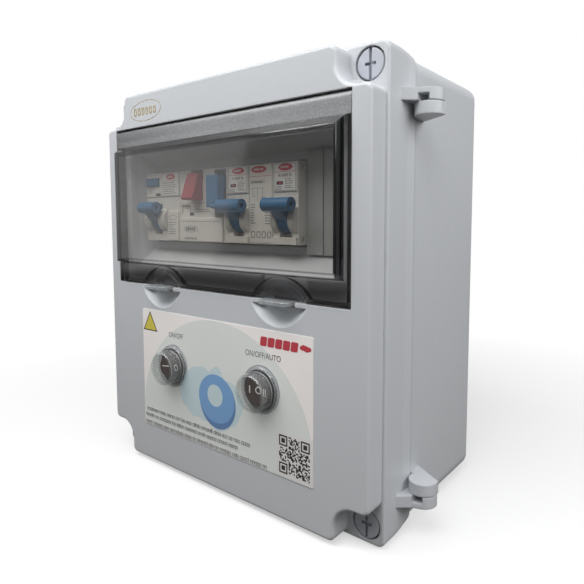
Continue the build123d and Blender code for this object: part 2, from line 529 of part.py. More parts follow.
with BuildPart() as rcd_lever:
    toggle(RCD_PIVOT_X, RCD_PIVOT_X - 8.2, RCD_PIVOT_X + 8.2)
save(rcd_lever, "rcd_lever")

with BuildPart() as rcd_test_button:
    block(NOSE_D - 1.7, 15.4, *TEST_BUTTON)
    fillet(rcd_test_button.faces().sort_by(Axis.Y)[0].edges(), radius=0.5)
save(rcd_test_button, "rcd_test_button")

# Motor protection breaker, 45 mm wide.
BREAKER_X = (-44.5, -0.2)
PADDLE_X = (-33.0, -22.5)
PADDLE_AXIS_D, PADDLE_AXIS_Z = 14.6, 66.4
LINK_X = (-12.0, -1.2)
LINK_Z = (47.4, 66.6)
LINK_TRAVEL = 16.5
with BuildPart() as motor_breaker_case:
    device_case(*BREAKER_X, 3)
    block(NOSE_D - 1, 18.0, PADDLE_X[0] - 0.3, PADDLE_X[1] + 0.3, 63.0, 70.7, mode=Mode.SUBTRACT)
    cross_rod(PADDLE_X[0] - 1.6, PADDLE_X[1] + 1.6, PADDLE_AXIS_D, PADDLE_AXIS_Z, 1.2 + RUNNING,
              mode=Mode.SUBTRACT)
    block(NOSE_D - 1, 21.5, LINK_X[0] + 0.4, LINK_X[1] - 0.4, 41.4, 70.0, mode=Mode.SUBTRACT)
    block(NOSE_D - 1, NOSE_D + 1.2, -43.4, -34.6, 43.6, 49.4, mode=Mode.SUBTRACT)
save(motor_breaker_case, "motor_breaker_case")

with BuildPart() as motor_breaker_cover:
    block(NOSE_D - 1.5, NOSE_D, BREAKER_X[0] + 0.1, -3.9, 26.3, 41.2)
    fillet(motor_breaker_cover.faces().sort_by(Axis.Y)[0].edges(), radius=0.5)
save(motor_breaker_cover, "motor_breaker_cover")

with BuildPart() as motor_breaker_paddle:
    cross_slab(*PADDLE_X, [(9.2, 69.0), (3.8, 53.4), (4.6, 52.2), (12.2, 52.2), (12.2, 69.0)])
    fillet(motor_breaker_paddle.faces().sort_by(Axis.Y)[:2].edges().filter_by(Axis.X), radius=0.5)
    cross_slab(*PADDLE_X, [(12.0, 68.2), (12.0, 64.6), (PADDLE_AXIS_D, 64.6), (PADDLE_AXIS_D, 68.2)])
    cross_rod(*PADDLE_X, PADDLE_AXIS_D, PADDLE_AXIS_Z, 1.8)
    cross_rod(PADDLE_X[0] - 1.4, PADDLE_X[1] + 1.4, PADDLE_AXIS_D, PADDLE_AXIS_Z, 1.2)
save(motor_breaker_paddle, "motor_breaker_paddle")

# Block that the first circuit breaker's handle draws down a slot in the motor breaker.
with BuildPart() as drive_link:
    block(NOSE_D - 7.0, NOSE_D - 1.8, *LINK_X, *LINK_Z)
    fillet(drive_link.faces().sort_by(Axis.Y)[0].edges(), radius=0.8)
    block(NOSE_D - 2, 20.5, LINK_X[0] + 0.8, LINK_X[1] - 0.8, LINK_Z[1] - 8.0, LINK_Z[1])
    block(BARREL_D - 4.6, BARREL_D + 3.4, LINK_X[1] - 5, LINK_X[1] + 1, BARREL_Z - 2.0, BARREL_Z + 2.0,
          mode=Mode.SUBTRACT)
save(drive_link, "drive_link")

MCB_1_X, AUX_X, MCB_2_X = (0.0, 17.9), (18.1, 36.1), (36.3, 54.2)
for name, (x_low, x_high) in (("mcb_1", MCB_1_X), ("mcb_2", MCB_2_X)):
    middle = (x_low + x_high) / 2
    with BuildPart() as mcb_case:
        device_case(x_low, x_high, 1)
        toggle_seat(middle, 8.2)
        block(NOSE_D - 0.6, NOSE_D, x_low + 0.5, x_high - 0.5, 55.2, 70.6)
        block(NOSE_D - 1.6, NOSE_D, x_low + 0.4, x_high - 0.4, 26.4, 30.4)
        for z in (ROW_Z + 19.6, ROW_Z - 19.6):
            cross_rod(x_high - 1.6, x_high + 1, NOSE_D + 4.2, z, 2.0, mode=Mode.SUBTRACT)
    save(mcb_case, f"{name}_case")

    with BuildPart() as mcb_handle:
        toggle(middle, middle - 8.9, middle + 10.2)
        if name == "mcb_1":
            cross_rod(LINK_X[1] - 4.5, middle - 8.8, BARREL_D, BARREL_Z, 1.5)
    save(mcb_handle, f"{name}_handle")

with BuildPart() as auxiliary_module_case:
    device_case(*AUX_X, 1)
    block(NOSE_D - 0.3, NOSE_D, AUX_X[0] + 0.6, AUX_X[1] - 0.6, 27.0, 70.4)
save(auxiliary_module_case, "auxiliary_module_case")

with BuildPart() as terminal_screws:
    for x in terminals:
        for sz in (-1, 1):
            z = ROW_Z + sz * TERMINAL_Z
            round_post(SHOULDER_D + 4, SHOULDER_D + 8, x, z, 3.2)
            block(SHOULDER_D + 3, SHOULDER_D + 5.2, x - 0.5, x + 0.5, z - 2.6, z + 2.6,
                  mode=Mode.SUBTRACT)
            block(SHOULDER_D + 3, SHOULDER_D + 5.2, x - 2.6, x + 2.6, z - 0.5, z + 0.5,
                  mode=Mode.SUBTRACT)
save(terminal_screws, "terminal_screws")

with BuildPart() as rail_clips:
    for x in clips:
        block(RAIL_D + 1.2, RAIL_D + 3.7, x - CLIP_HALF, x + CLIP_HALF, ROW_Z - SHOULDER_H - 3,
              ROW_Z - 15.8)
        block(RAIL_D, RAIL_D + 5, x - 2, x + 2, ROW_Z - SHOULDER_H - 2, ROW_Z - SHOULDER_H - 0.6,
              mode=Mode.SUBTRACT)
save(rail_clips, "rail_clips")

# ---- switches ----------------------------------------------------------------------------------
def ring_profile(x, points, mode=Mode.ADD):
    """Turned shape about the switch's axis, from (radius, depth) points."""
    with BuildSketch(Plane(origin=(x, y_at(0), SWITCH_Z), x_dir=(1, 0, 0), z_dir=(0, 0, 1))) as section:
        with BuildLine():
            Polyline(points, close=True)
        make_face()
    revolve(section.sketch, axis=Axis((x, y_at(0), SWITCH_Z), (0, 1, 0)), mode=mode)


for name, x, rest_tilt in (("left", -SWITCH_X, ROCKER_TILT), ("right", SWITCH_X, 0.0)):
    with BuildPart() as switch_body:
        ring_profile(x, [(0, 18), (0, 11), (9.2, 11), (9.2, -1.6), (11.4, -1.6), (11.4, 0),
                         (SWITCH_R - 0.1, 0), (SWITCH_R - 0.1, 18)])
        with BuildSketch(level(SWITCH_Z - 9.75)) as trunnion_hole:
            with Locations((x, y_at(ROCKER_DROP))):
                Circle(1.2 + RUNNING)
        extrude(trunnion_hole.sketch, amount=19.5, mode=Mode.SUBTRACT)
    save(switch_body, f"switch_{name}_body")

    turn = radians(rest_tilt)
    plan = [(-8.3, -5.2), (0, -3.2), (8.3, -5.2), (8.3, 1.0), (2.6, 5.2), (-2.6, 5.2), (-8.3, 1.0)]
    with BuildPart() as switch_rocker:
        with BuildSketch(level(SWITCH_Z - ROCKER_R)) as rocker_plan:
            with BuildLine():
                Polyline([(x + u * cos(turn) - v * sin(turn),
                           y_at(ROCKER_DROP) + u * sin(turn) + v * cos(turn)) for u, v in plan], close=True)
            make_face()
        extrude(amount=2 * ROCKER_R)
        with BuildSketch(Plane(origin=(x, y_at(ROCKER_DROP), SWITCH_Z), x_dir=(cos(turn), sin(turn), 0),
                               z_dir=(sin(turn), -cos(turn), 0))) as rocker_disc:
            Circle(ROCKER_R)
        extrude(rocker_disc.sketch, amount=12, both=True, mode=Mode.INTERSECT)
        with BuildSketch(level(SWITCH_Z - 9.6)) as trunnion:
            with Locations((x, y_at(ROCKER_DROP))):
                Circle(1.2)
        extrude(trunnion.sketch, amount=19.2)
    save(switch_rocker, f"switch_{name}_rocker")

    with BuildPart() as switch_cap:
        ring_profile(x, [(0, -10.4), (9.6, -10.4), (10.4, -9.6), (10.4, -3.0), (12.6, -3.0),
                         (13.3, -2.3), (13.3, 0), (11.5, 0), (11.5, -1.7), (9.4, -1.7), (9.4, -9.4),
                         (0, -9.4)])
    save(switch_cap, f"switch_{name}_cap")

    with BuildPart() as switch_nut:
        with BuildSketch(front(WALL + 4)) as nut_outline:
            with Locations((x, SWITCH_Z)):
                RegularPolygon(14.0, 12)
                Circle(SWITCH_R - 0.08, mode=Mode.SUBTRACT)
        extrude(amount=4)
    save(switch_nut, f"switch_{name}_nut")

with BuildPart() as switch_terminals:
    for x, offsets in ((-SWITCH_X, (-4, 4)), (SWITCH_X, (-6, 0, 6))):
        for offset in offsets:
            block(18, 26, x + offset - 0.4, x + offset + 0.4, SWITCH_Z - 2.4, SWITCH_Z + 2.4)
            cross_rod(x + offset - 1, x + offset + 1, 23.5, SWITCH_Z, 0.9, mode=Mode.SUBTRACT)
save(switch_terminals, "switch_terminals")

# ---- terminal bars -----------------------------------------------------------------------------
for name, sx in (("neutral_bar", -1), ("earth_bar", 1)):
    with BuildPart() as terminal_bar:
        block(BAR_D, BAR_D + 8, sx * BAR_X - 31, sx * BAR_X + 31, BAR_Z - 4, BAR_Z + 4)
        for i in range(7):
            x = sx * BAR_X + (i - 3) * 6.6
            with BuildSketch(level(BAR_Z - 5)) as wire_hole:
                with Locations((x, y_at(BAR_D + 4))):
                    Circle(2.3)
            extrude(wire_hole.sketch, amount=10, mode=Mode.SUBTRACT)
            round_post(BAR_D - 1, BAR_D + 4, x, BAR_Z, 1.8, mode=Mode.SUBTRACT)
        for x in (sx * (BAR_X - 26), sx * (BAR_X + 26)):
            round_post(BAR_D - 1, BAR_D + 9, x, BAR_Z, 1.6, mode=Mode.SUBTRACT)
    save(terminal_bar, name)

with BuildPart() as bar_screws:
    for sx in (-1, 1):
        for i in range(7):
            x = sx * BAR_X + (i - 3) * 6.6
            round_post(BAR_D - 1.6, BAR_D + 1.4, x, BAR_Z, 1.78)
            block(BAR_D - 2, BAR_D - 0.8, x - 0.4, x + 0.4, BAR_Z - 2, BAR_Z + 2, mode=Mode.SUBTRACT)
        for x in (sx * (BAR_X - 26), sx * (BAR_X + 26)):
            round_post(BAR_D - 2.5, BAR_D, x, BAR_Z, 3.0)
            round_post(BAR_D - 0.5, BAR_D + 20, x, BAR_Z, 1.57)
            block(BAR_D - 3, BAR_D - 1.5, x - 0.5, x + 0.5, BAR_Z - 3.5, BAR_Z + 3.5, mode=Mode.SUBTRACT)
save(bar_screws, "bar_screws")
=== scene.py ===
"""Looks of the motor protection breaker box: materials, printed art, floor, light and camera, around the
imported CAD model. Prints are placed in millimetres in the model's frame, x to the right and z up, with a depth
counted back from the front face of the cover. They become metres where a mesh is made. Materials, lights and
the camera are in metres."""

import json
import math
import random

import bpy
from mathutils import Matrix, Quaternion, Vector


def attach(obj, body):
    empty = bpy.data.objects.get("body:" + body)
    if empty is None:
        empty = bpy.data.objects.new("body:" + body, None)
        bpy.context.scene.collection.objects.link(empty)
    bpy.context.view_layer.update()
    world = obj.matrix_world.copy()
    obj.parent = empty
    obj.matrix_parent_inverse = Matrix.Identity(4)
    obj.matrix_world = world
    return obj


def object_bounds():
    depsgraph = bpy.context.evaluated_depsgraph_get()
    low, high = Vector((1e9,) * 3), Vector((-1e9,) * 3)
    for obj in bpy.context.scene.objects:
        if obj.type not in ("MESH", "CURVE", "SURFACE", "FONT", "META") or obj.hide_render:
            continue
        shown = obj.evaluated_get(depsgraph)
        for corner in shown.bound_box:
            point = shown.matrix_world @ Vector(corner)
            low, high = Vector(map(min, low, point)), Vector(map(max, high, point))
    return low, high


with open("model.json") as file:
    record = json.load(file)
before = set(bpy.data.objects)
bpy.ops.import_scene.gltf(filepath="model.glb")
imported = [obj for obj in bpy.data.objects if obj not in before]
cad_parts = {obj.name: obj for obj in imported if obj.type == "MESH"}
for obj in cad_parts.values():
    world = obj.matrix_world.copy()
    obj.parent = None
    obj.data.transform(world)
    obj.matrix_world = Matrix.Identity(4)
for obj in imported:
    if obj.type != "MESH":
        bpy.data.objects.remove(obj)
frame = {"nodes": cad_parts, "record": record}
cad_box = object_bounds()
NODES = frame["nodes"]
DEPTH = 125.0  # from the wall face to the front face of the cover
PANEL_HALF, PANEL_LOW, PANEL_HIGH = 92.0, 10.5, 88.5  # raised panel of the window door

# ---- node helpers ---------------------------------------------------------------------------------
BEVEL_SAMPLES = 4
EDGE_DOTS = (0.995, 0.8)  # how well rounded and flat normals agree where an edge's mask starts and is full
WINDOW_RELIEF, INK_RELIEF = 0.00002, 0.000004  # heights of the waves in clear plastic and of uneven ink


class Tree:
    """The node tree of a material or a world, with short calls for the nodes used here."""

    def __init__(self, owner, output="ShaderNodeOutputMaterial"):
        owner.use_nodes = True
        self.owner = owner
        self.nodes = owner.node_tree.nodes
        self.links = owner.node_tree.links
        self.nodes.clear()
        self.out = self.add(output)
        self.coordinates = self.add("ShaderNodeTexCoord").outputs
        self.where = self.coordinates["Object"]

    def add(self, kind, **inputs):
        node = self.nodes.new(kind)
        for key, value in inputs.items():
            self.put(node.inputs[key.replace("_", " ")], value)
        return node

    def put(self, socket, value):
        if isinstance(value, bpy.types.NodeSocket):
            self.links.new(value, socket)
        elif socket.type == "RGBA" and len(value) == 3:
            socket.default_value = (*value, 1.0)
        else:
            socket.default_value = value

    def noise(self, scale, detail=2.0, rough=0.5, vector=None):
        node = self.add("ShaderNodeTexNoise", Vector=vector or self.where, Scale=scale, Detail=detail,
                        Roughness=rough)
        return node.outputs["Fac"]

    def math(self, operation, a, b=0.0, clamp=False):
        node = self.nodes.new("ShaderNodeMath")
        node.operation = operation
        node.use_clamp = clamp
        self.put(node.inputs[0], a)
        self.put(node.inputs[1], b)
        return node.outputs[0]

    def vector_math(self, operation, *values):
        node = self.nodes.new("ShaderNodeVectorMath")
        node.operation = operation
        for socket, value in zip(node.inputs, values):
            self.put(socket, value)
        return node.outputs["Value"]

    def remap(self, value, span, result):
        node = self.add("ShaderNodeMapRange", Value=value, From_Min=span[0], From_Max=span[1],
                        To_Min=result[0], To_Max=result[1])
        return node.outputs["Result"]

    def blend(self, factor, a, b):
        node = self.nodes.new("ShaderNodeMix")
        node.data_type = "RGBA"
        self.put(node.inputs["Factor"], factor)
        self.put(node.inputs["A"], a)
        self.put(node.inputs["B"], b)
        return node.outputs["Result"]

    def split(self, vector):
        node = self.add("ShaderNodeSeparateXYZ", Vector=vector)
        return node.outputs["X"], node.outputs["Y"], node.outputs["Z"]

    def stretch(self, scale):
        return self.add("ShaderNodeMapping", Vector=self.where, Scale=scale).outputs["Vector"]

    def rounded(self, radius):
        """Normal with the edges rounded by radius, and a mask of those edges."""
        bevel = self.add("ShaderNodeBevel", Radius=radius)
        bevel.samples = BEVEL_SAMPLES
        flat = self.add("ShaderNodeNewGeometry").outputs["Normal"]
        agreement = self.vector_math("DOT_PRODUCT", bevel.outputs[0], flat)
        return bevel.outputs[0], self.remap(agreement, EDGE_DOTS, (0.0, 1.0))

    def bumps(self, height, distance, strength, normal=None):
        node = self.add("ShaderNodeBump", Height=height, Distance=distance, Strength=strength)
        if normal is not None:
            self.put(node.inputs["Normal"], normal)
        return node.outputs["Normal"]

    def mix(self, factor, first, second):
        """Shader that goes from the first to the second as the factor goes from 0 to 1."""
        node = self.add("ShaderNodeMixShader", Fac=factor)
        self.put(node.inputs[1], first.outputs[0])
        self.put(node.inputs[2], second.outputs[0])
        return node

    def surface(self, shader):
        self.put(self.out.inputs["Surface"], shader.outputs[0])
        return self.owner


def tinted(colour, factor):
    return tuple(min(1.0, c * factor) for c in colour)


def plastic(name, colour, rough, vary, grain, relief, edge, pale_edge_highlight):
    """Moulded plastic: slow flow shades, fine grain in the surface, softened edges with a painted highlight.
    Relief is in millimetres, grain is the scale of the fine noise, and the last argument sets how pale they are
    painted."""
    t = Tree(bpy.data.materials.new(name))
    flow = t.noise(scale=9.0, detail=3.0, rough=0.55)
    mottle = t.noise(scale=160.0, detail=4.0, rough=0.6)
    fine = t.noise(scale=grain, detail=2.0, rough=0.6)
    normal, edges = t.rounded(edge)
    base = t.blend(flow, tinted(colour, 1 - vary), tinted(colour, 1 + vary))
    base = t.blend(t.remap(mottle, (0.3, 0.7), (0.0, 0.35)), base, tinted(colour, 1 - 1.4 * vary))
    # painted highlight: the edges are drawn paler in colour
    base = t.blend(t.math("MULTIPLY", edges, pale_edge_highlight, clamp=True), base, tinted(colour, 1.35))
    roughness = t.math("ADD", t.remap(mottle, (0.25, 0.75), (rough - 0.05, rough + 0.05)),
                       t.math("MULTIPLY", edges, -0.08))
    return t.surface(t.add("ShaderNodeBsdfPrincipled", Base_Color=base, Roughness=roughness,
                           Normal=t.bumps(fine, relief / 1000, 0.5, normal)))


def metal(name, colour, rough, relief=0.006):
    """Drawn or plated metal, with fine lines along x and dull patches. Relief is in millimetres."""
    t = Tree(bpy.data.materials.new(name))
    lines = t.noise(scale=1.0, detail=3.0, rough=0.6, vector=t.stretch((60.0, 2600.0, 2600.0)))
    patches = t.noise(scale=90.0, detail=3.0, rough=0.6)
    normal, edges = t.rounded(0.0003)
    base = t.blend(patches, tinted(colour, 0.86), colour)
    # painted highlight: the edges are drawn paler in colour
    base = t.blend(t.math("MULTIPLY", edges, 0.3, clamp=True), base, tinted(colour, 1.25))
    return t.surface(t.add("ShaderNodeBsdfPrincipled", Base_Color=base, Metallic=1.0,
                           Roughness=t.remap(patches, (0.3, 0.7), (rough, rough + 0.16)),
                           Normal=t.bumps(lines, relief / 1000, 0.5, normal)))


def glazing(name, tint, haze, haze_colour, rough, wall_tint, wall_haze=0.0, edge_highlight_haze=0.0, frame_tint=None):
    """Thin transparent plastic: a tint at each surface, a little haze, and reflections by Fresnel. Walls seen
    edge-on have their own tint and haze, because light takes a longer way through them, and the edges get a
    painted highlight of extra pale haze. With a frame tint it is the window door: darker outside the raised
    panel, frosted above it, with painted light on the frosting, darker at the left and paler at the right."""
    t = Tree(bpy.data.materials.new(name))
    height = t.noise(scale=38.0, detail=2.0, rough=0.5)
    smears = t.noise(scale=120.0, detail=4.0, rough=0.6)
    tint_now = tint
    haze_now = t.remap(smears, (0.3, 0.75), (haze * 0.6, haze * 1.5))
    rough_now = t.remap(smears, (0.3, 0.7), (rough * 0.6, rough * 1.6))
    if frame_tint:
        x, _, z = t.split(t.where)
        beside = t.math("GREATER_THAN", t.math("ABSOLUTE", x), PANEL_HALF / 1000)
        below = t.math("LESS_THAN", z, PANEL_LOW / 1000)
        above = t.math("GREATER_THAN", z, PANEL_HIGH / 1000)
        outside = t.math("MAXIMUM", beside, t.math("MAXIMUM", below, above))
        tint_now = t.blend(outside, tint, frame_tint)
        pits = t.noise(scale=1150.0, detail=3.0, rough=0.7)
        height = t.math("ADD", height, t.math("MULTIPLY", pits, t.math("MULTIPLY", above, 5.0)))
        rough_now = t.math("ADD", rough_now, t.math("MULTIPLY", above, 0.24))
        grain = t.remap(pits, (0.35, 0.65), (-0.13, 0.13))
        # painted light: the frosted strip is drawn darker at the left and paler at the right
        along = t.remap(x, (-0.09, -0.01), (0.30, 0.63))
        blotches = t.remap(t.noise(scale=70.0, detail=3.0, rough=0.6), (0.3, 0.7), (-0.02, 0.02))
        frost_and_painted_light = t.math("ADD", blotches, t.math("ADD", along, grain))
        haze_now = t.math("MAXIMUM", haze_now, t.math("MULTIPLY", frost_and_painted_light, above))
    facing_front = t.math("ABSOLUTE", t.split(t.coordinates["Normal"])[1])
    wall = t.remap(facing_front, (0.45, 0.92), (1.0, 0.0))
    tint_now = t.blend(wall, tint_now, wall_tint)
    haze_now = t.math("ADD", haze_now, t.math("MULTIPLY", wall, wall_haze))
    soft, edges = t.rounded(0.0006)
    # painted highlight: extra pale haze along the edges
    haze_now = t.math("ADD", haze_now, t.math("MULTIPLY", edges, edge_highlight_haze), clamp=True)
    normal = t.bumps(height, WINDOW_RELIEF, 0.6, soft)
    clear = t.add("ShaderNodeBsdfTransparent", Color=tint_now)
    veil = t.add("ShaderNodeBsdfDiffuse", Color=haze_colour, Normal=normal)
    gloss = t.add("ShaderNodeBsdfGlossy", Color=(1, 1, 1), Roughness=rough_now, Normal=normal)
    index = 1.5  # turned over on back faces, which undoes the total reflection that Fresnel gives there
    back = t.add("ShaderNodeNewGeometry").outputs["Backfacing"]
    index_here = t.math("SUBTRACT", index, t.math("MULTIPLY", back, index - 1 / index))
    fresnel = t.add("ShaderNodeFresnel", IOR=index_here, Normal=normal).outputs[0]
    return t.surface(t.mix(fresnel, t.mix(haze_now, clear, veil), gloss))


def printed(name, colour, vary, rough=0.4):
    """Ink on film: slightly uneven coverage and a satin surface."""
    t = Tree(bpy.data.materials.new(name))
    cover = t.noise(scale=900.0, detail=3.0, rough=0.7)
    broad = t.noise(scale=45.0, detail=2.0, rough=0.5)
    base = t.blend(t.remap(cover, (0.3, 0.7), (0.0, 1.0)), tinted(colour, 1 - vary), tinted(colour, 1 + vary))
    base = t.blend(t.remap(broad, (0.3, 0.7), (0.0, 0.4)), base, tinted(colour, 1 - vary))
    return t.surface(t.add("ShaderNodeBsdfPrincipled", Base_Color=base,
                           Roughness=t.remap(cover, (0.2, 0.8), (rough - 0.05, rough + 0.08)),
                           Normal=t.bumps(cover, INK_RELIEF, 0.4)))


# ---- materials ------------------------------------------------------------------------------------
materials = {
    "enclosure": plastic("enclosure_plastic", (0.555, 0.575, 0.600), rough=0.40, vary=0.022, grain=1300.0,
                         relief=0.014, edge=0.0009, pale_edge_highlight=0.10),
    "smoked": glazing("smoked_window", (0.90, 0.893, 0.880), haze=0.012, haze_colour=(0.42, 0.43, 0.44),
                      rough=0.075, wall_tint=(0.09, 0.09, 0.10), edge_highlight_haze=0.34,
                      frame_tint=(0.70, 0.69, 0.69)),
    "clear": glazing("clear_plastic", (0.975, 0.980, 0.980), haze=0.01, haze_colour=(0.80, 0.83, 0.83),
                     rough=0.03, wall_tint=(0.90, 0.91, 0.91), wall_haze=0.05, edge_highlight_haze=0.75),
    "latch": glazing("latch_plastic", (0.92, 0.93, 0.93), haze=0.24, haze_colour=(0.62, 0.65, 0.67),
                     rough=0.03, wall_tint=(0.80, 0.82, 0.82), wall_haze=0.22, edge_highlight_haze=0.55),
    "device": plastic("device_plastic", (0.70, 0.685, 0.645), rough=0.46, vary=0.025, grain=2200.0,
                      relief=0.010, edge=0.0004, pale_edge_highlight=0.08),
    "blue": plastic("blue_plastic", (0.030, 0.140, 0.290), rough=0.38, vary=0.05, grain=2000.0,
                    relief=0.010, edge=0.0005, pale_edge_highlight=0.22),
    "red": plastic("red_plastic", (0.330, 0.042, 0.062), rough=0.38, vary=0.05, grain=2000.0,
                   relief=0.010, edge=0.0005, pale_edge_highlight=0.20),
    "steel": metal("plated_steel", (0.62, 0.62, 0.60), rough=0.28),
    "brass": metal("drawn_brass", (0.72, 0.56, 0.27), rough=0.26),
    "rubber": plastic("foam_rubber", (0.030, 0.030, 0.033), rough=0.85, vary=0.20, grain=900.0,
                      relief=0.08, edge=0.0004, pale_edge_highlight=0.05),
    "screw_plastic": plastic("screw_nylon", (0.470, 0.490, 0.545), rough=0.36, vary=0.03, grain=1500.0,
                             relief=0.012, edge=0.0005, pale_edge_highlight=0.15),
    "blank": plastic("blanking_plastic", (0.360, 0.370, 0.370), rough=0.50, vary=0.03, grain=1500.0,
                     relief=0.014, edge=0.0004, pale_edge_highlight=0.08),
    "black": plastic("black_nylon", (0.030, 0.031, 0.035), rough=0.34, vary=0.10, grain=1500.0,
                     relief=0.012, edge=0.0005, pale_edge_highlight=0.08),
    "rocker": plastic("rocker_plastic", (0.062, 0.042, 0.038), rough=0.50, vary=0.12, grain=1900.0,
                      relief=0.030, edge=0.0005, pale_edge_highlight=0.10),
    "label": printed("label_film", (0.900, 0.860, 0.835), vary=0.012, rough=0.42),
}
slot_of = {part["node"]: part["material_slot"] for part in frame["record"]["subparts"]}
for name, node in NODES.items():
    node.data.materials.clear()
    node.data.materials.append(materials["latch" if name.startswith("window_latch") else slot_of[name]])

INKS = {
    "pale": printed("ink_pale_green", (0.735, 0.760, 0.735), vary=0.015),
    "splash": printed("ink_pale_blue", (0.560, 0.680, 0.715), vary=0.03),
    "ring": printed("ink_blue", (0.200, 0.375, 0.640), vary=0.05),
    "ring_side": printed("ink_deep_blue", (0.130, 0.240, 0.450), vary=0.05),
    "grey": printed("ink_grey", (0.150, 0.150, 0.155), vary=0.12),
    "text": printed("ink_mid_grey", (0.210, 0.205, 0.210), vary=0.12),
    "black": printed("ink_black", (0.035, 0.030, 0.032), vary=0.15),
    "yellow": printed("ink_yellow", (0.660, 0.560, 0.090), vary=0.05),
    "red": printed("ink_red", (0.520, 0.055, 0.075), vary=0.06),
    "white": printed("ink_white", (0.760, 0.750, 0.735), vary=0.03),
    "gold": metal("gold_foil", (0.62, 0.52, 0.30), rough=0.35, relief=0.003),
    "plate": printed("device_label_film", (0.76, 0.755, 0.735), vary=0.02, rough=0.38),
}

# ---- flat shapes ----------------------------------------------------------------------------------
CORNER_STEPS = 6  # points along each round corner
BLOB_POINTS = 96
THIN_SHARE, OPEN_SHARE = 0.3, 0.35  # of strokes that are plain bars, and of boxes that are open below
WORD_GAP = 0.55  # as a share of the height
DASH_GAP, SHORTEST_DASH = 0.32, 0.3


def rect(x0, x1, z0, z1):
    return [(x0, z0), (x1, z0), (x1, z1), (x0, z1)]


def oval(x, z, rx, rz, tilt=0.0, count=64):
    turn = math.radians(tilt)
    points = []
    for i in range(count):
        angle = 2 * math.pi * i / count
        u = rx * math.cos(angle)
        v = rz * math.sin(angle)
        points.append((x + u * math.cos(turn) - v * math.sin(turn),
                       z + u * math.sin(turn) + v * math.cos(turn)))
    return points


def rounded_rect(x0, x1, z0, z1, radius, lean=0.0):
    """Rectangle with round corners. Lean shifts the top sideways."""
    points = []
    corners = ((x1 - radius, z1 - radius, 0), (x0 + radius, z1 - radius, 90),
               (x0 + radius, z0 + radius, 180), (x1 - radius, z0 + radius, 270))
    for corner_x, corner_z, start in corners:
        for i in range(CORNER_STEPS + 1):
            angle = math.radians(start + 90 * i / CORNER_STEPS)
            points.append((corner_x + radius * math.cos(angle), corner_z + radius * math.sin(angle)))
    return [(x + lean * (z - z0) / (z1 - z0), z) for x, z in points]


def outline(x0, x1, z0, z1, stroke, radius=0.3):
    """A drawn frame: two nested rounded rectangles."""
    return [rounded_rect(x0, x1, z0, z1, radius),
            rounded_rect(x0 + stroke, x1 - stroke, z0 + stroke, z1 - stroke, max(0.02, radius - stroke))]


def blob(x, z, radii):
    """A closed soft shape through radii given at equal angles round its centre."""
    points = []
    for i in range(BLOB_POINTS):
        position = i / BLOB_POINTS * len(radii)
        before = int(position)
        ease = (1 - math.cos(math.pi * (position - before))) / 2
        radius = radii[before] * (1 - ease) + radii[(before + 1) % len(radii)] * ease
        angle = 2 * math.pi * i / BLOB_POINTS
        points.append((x + radius * math.cos(angle), z + radius * math.sin(angle)))
    return points


def strokes(seed, x0, x1, z, height, stroke):
    """A row of plain bars and boxes the size of small lettering, which spells nothing."""
    pick = random.Random(seed)
    shapes = []
    x = x0
    while x < x1:
        for _ in range(pick.randint(2, 9)):
            thin = pick.random() < THIN_SHARE
            width = stroke if thin else height * pick.uniform(0.62, 0.85)
            if x + width > x1:
                return shapes
            if thin:
                shapes.append(rect(x, x + width, z, z + height * pick.choice((1.0, 1.35))))
            else:
                open_below = pick.random() < OPEN_SHARE
                inner_low = z - stroke * 0.01 if open_below else z + stroke
                shapes.append(rect(x, x + width, z, z + height))
                shapes.append(rect(x + stroke, x + width - stroke, inner_low, z + height - stroke))
            x += width + stroke
        x += height * WORD_GAP
    return shapes


def dashes(seed, x0, x1, z_top, pitch, rows, height, fill=0.7):
    """Rows of short dashes in place of very small print. Each row fills at least that share of the width."""
    pick = random.Random(seed)
    shapes = []
    for row in range(rows):
        z = z_top - row * pitch
        x = x0
        end = x0 + (x1 - x0) * pick.uniform(fill, 1.0)
        while x < end - SHORTEST_DASH:
            width = min(pick.uniform(0.5, 1.9), end - x)
            shapes.append(rect(x, x + width, z - height, z))
            x += width + DASH_GAP
    return shapes


# ---- pieces ---------------------------------------------------------------------------------------
FILM = 0.04  # thickness of every printed piece
CLEAR = 0.02  # from a surface to the first film on it
LAYER = 0.05  # from one film to the next on top of it


def facing(surface, step=0):
    """Places films in front of a surface, given by its depth. Step 0 lies on the surface."""
    back = surface - CLEAR - LAYER * step - DEPTH
    return lambda x, z, rise: Vector((x, back - rise, z)) / 1000


def lay(name, curve, place, material, body):
    """A thin piece made of a filled curve, which moves with a body. place puts its points, given as x, z and
    the height above its back, into the model."""
    curve.extrude = FILM / 2
    holder = bpy.data.objects.new("flat", curve)
    bpy.context.scene.collection.objects.link(holder)
    bpy.context.view_layer.update()
    mesh = bpy.data.meshes.new_from_object(holder.evaluated_get(bpy.context.evaluated_depsgraph_get()))
    bpy.data.objects.remove(holder)
    bpy.data.curves.remove(curve)
    for vertex in mesh.vertices:
        vertex.co = place(vertex.co.x, vertex.co.y, vertex.co.z + FILM / 2)
    mesh.materials.clear()
    mesh.materials.append(material)
    piece = bpy.data.objects.new(name, mesh)
    bpy.context.scene.collection.objects.link(piece)
    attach(piece, body)


def film(name, shapes, place, material, body):
    """A printed or laid-on piece of filled shapes, with nested ones as holes."""
    curve = bpy.data.curves.new("outline", "CURVE")
    curve.dimensions = "2D"
    curve.fill_mode = "BOTH"
    for shape in shapes:
        spline = curve.splines.new("POLY")
        spline.points.add(len(shape) - 1)
        for point, (x, z) in zip(spline.points, shape):
            point.co = (x, z, 0, 1)
        spline.use_cyclic_u = True
    lay(name, curve, place, material, body)


